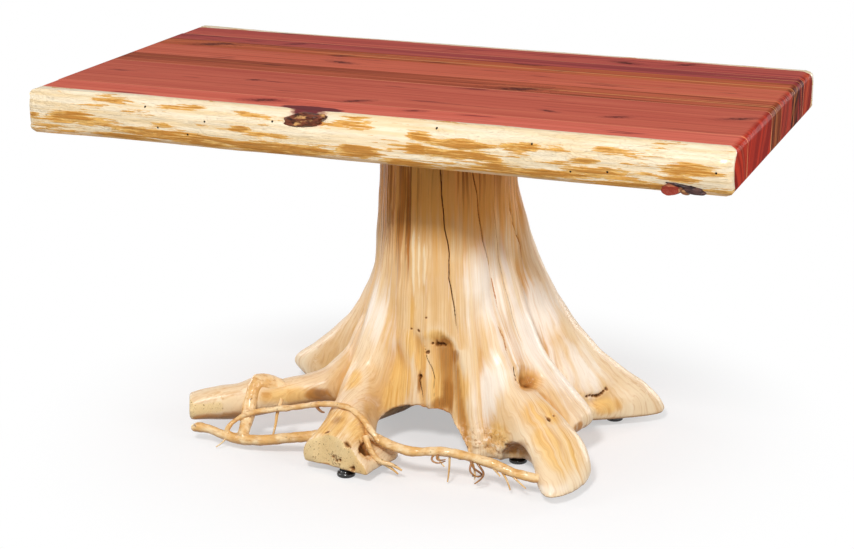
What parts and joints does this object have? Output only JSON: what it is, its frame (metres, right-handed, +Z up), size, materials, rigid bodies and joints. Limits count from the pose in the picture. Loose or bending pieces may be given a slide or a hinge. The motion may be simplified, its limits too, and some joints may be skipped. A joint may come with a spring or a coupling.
{
  "type": "coffee table",
  "caption": "Rustic coffee table: a glued-up red cedar top with live edges on a peeled tree stump with spreading roots, standing on screw levelling feet.",
  "frame": {"origin": "on the floor, under the middle of the table top", "axes": "+X along the length of the top, -Y to the side of the front live edge, +Z up"},
  "size_m": [0.914, 0.4924, 0.48],
  "materials": {
    "front_live_edge_board": "clear satin lacquer over red cedar, cream sapwood live edge",
    "wide_red_board": "clear satin lacquer over red cedar",
    "brown_board": "clear satin lacquer over red cedar",
    "light_red_board": "clear satin lacquer over red cedar",
    "streaked_board": "clear satin lacquer over red cedar",
    "purple_board": "clear satin lacquer over red cedar",
    "back_live_edge_board": "clear satin lacquer over red cedar, pale live edge",
    "spline_wood": "plain glued hardwood strip",
    "black_steel": "matt black paint",
    "zinc_steel": "bright zinc plate",
    "stump_wood": "peeled stump under glossy clear lacquer",
    "root_wood": "peeled slender root under clear lacquer",
    "foot_plastic": "glossy black moulded plastic",
    "stem_steel": "black oxide"
  },
  "bodies": {
    "table": {"front_live_edge_board": "front_live_edge_board", "wide_red_board": "wide_red_board", "brown_board": "brown_board", "light_red_board": "light_red_board", "streaked_board": "streaked_board", "purple_board": "purple_board", "back_live_edge_board": "back_live_edge_board", "joint_spline_1": "spline_wood", "joint_spline_2": "spline_wood", "joint_spline_3": "spline_wood", "joint_spline_4": "spline_wood", "joint_spline_5": "spline_wood", "joint_spline_6": "spline_wood", "mounting_plate": "black_steel", "lag_screw_1": "zinc_steel", "lag_screw_2": "zinc_steel", "lag_screw_3": "zinc_steel", "lag_screw_4": "zinc_steel", "cabinet_screw_1": "zinc_steel", "cabinet_screw_2": "zinc_steel", "cabinet_screw_3": "zinc_steel", "cabinet_screw_4": "zinc_steel", "cabinet_screw_5": "zinc_steel", "cabinet_screw_6": "zinc_steel", "cabinet_screw_7": "zinc_steel", "cabinet_screw_8": "zinc_steel", "stump": "stump_wood", "low_left_root": "root_wood", "trailing_root": "root_wood", "drop_branch": "root_wood", "arched_root": "root_wood", "front_left_foot_insert": "zinc_steel", "front_right_foot_insert": "zinc_steel", "back_right_foot_insert": "zinc_steel", "back_left_foot_insert": "zinc_steel"},
    "front_left_pad": {"front_left_foot_pad": "foot_plastic"},
    "front_left_stem": {"front_left_foot_stem": "stem_steel"},
    "front_right_pad": {"front_right_foot_pad": "foot_plastic"},
    "front_right_stem": {"front_right_foot_stem": "stem_steel"},
    "back_right_pad": {"back_right_foot_pad": "foot_plastic"},
    "back_right_stem": {"back_right_foot_stem": "stem_steel"},
    "back_left_pad": {"back_left_foot_pad": "foot_plastic"},
    "back_left_stem": {"back_left_foot_stem": "stem_steel"}
  },
  "joints": [
    {"name": "front_left_pad_lift", "type": "slide", "parent": "table", "child": "front_left_pad", "axis": [0, 0, -1], "range_m": [0, 0.012]},
    {"name": "front_left_stem_turn", "type": "hinge", "parent": "front_left_pad", "child": "front_left_stem", "pos_m": [-0.03417, -0.214, 0.0113], "axis": [0, 0, -1], "range_deg": [0, 3450]},
    {"name": "front_right_pad_lift", "type": "slide", "parent": "table", "child": "front_right_pad", "axis": [0, 0, -1], "range_m": [0, 0.012]},
    {"name": "front_right_stem_turn", "type": "hinge", "parent": "front_right_pad", "child": "front_right_stem", "pos_m": [0.1582, -0.09205, 0.0113], "axis": [0, 0, -1], "range_deg": [0, 3450]},
    {"name": "back_right_pad_lift", "type": "slide", "parent": "table", "child": "back_right_pad", "axis": [0, 0, -1], "range_m": [0, 0.012]},
    {"name": "back_right_stem_turn", "type": "hinge", "parent": "back_right_pad", "child": "back_right_stem", "pos_m": [0.23464, 0.09826, 0.0113], "axis": [0, 0, -1], "range_deg": [0, 3450]},
    {"name": "back_left_pad_lift", "type": "slide", "parent": "table", "child": "back_left_pad", "axis": [0, 0, -1], "range_m": [0, 0.012]},
    {"name": "back_left_stem_turn", "type": "hinge", "parent": "back_left_pad", "child": "back_left_stem", "pos_m": [-0.17022, 0.07009, 0.0113], "axis": [0, 0, -1], "range_deg": [0, 3450]}
  ],
  "couplings": [
    {"joint": "front_left_pad_lift", "follows": "front_left_stem_turn", "m_per_rad": 0.00019894},
    {"joint": "front_right_pad_lift", "follows": "front_right_stem_turn", "m_per_rad": 0.00019894},
    {"joint": "back_right_pad_lift", "follows": "back_right_stem_turn", "m_per_rad": 0.00019894},
    {"joint": "back_left_pad_lift", "follows": "back_left_stem_turn", "m_per_rad": 0.00019894}
  ]
}
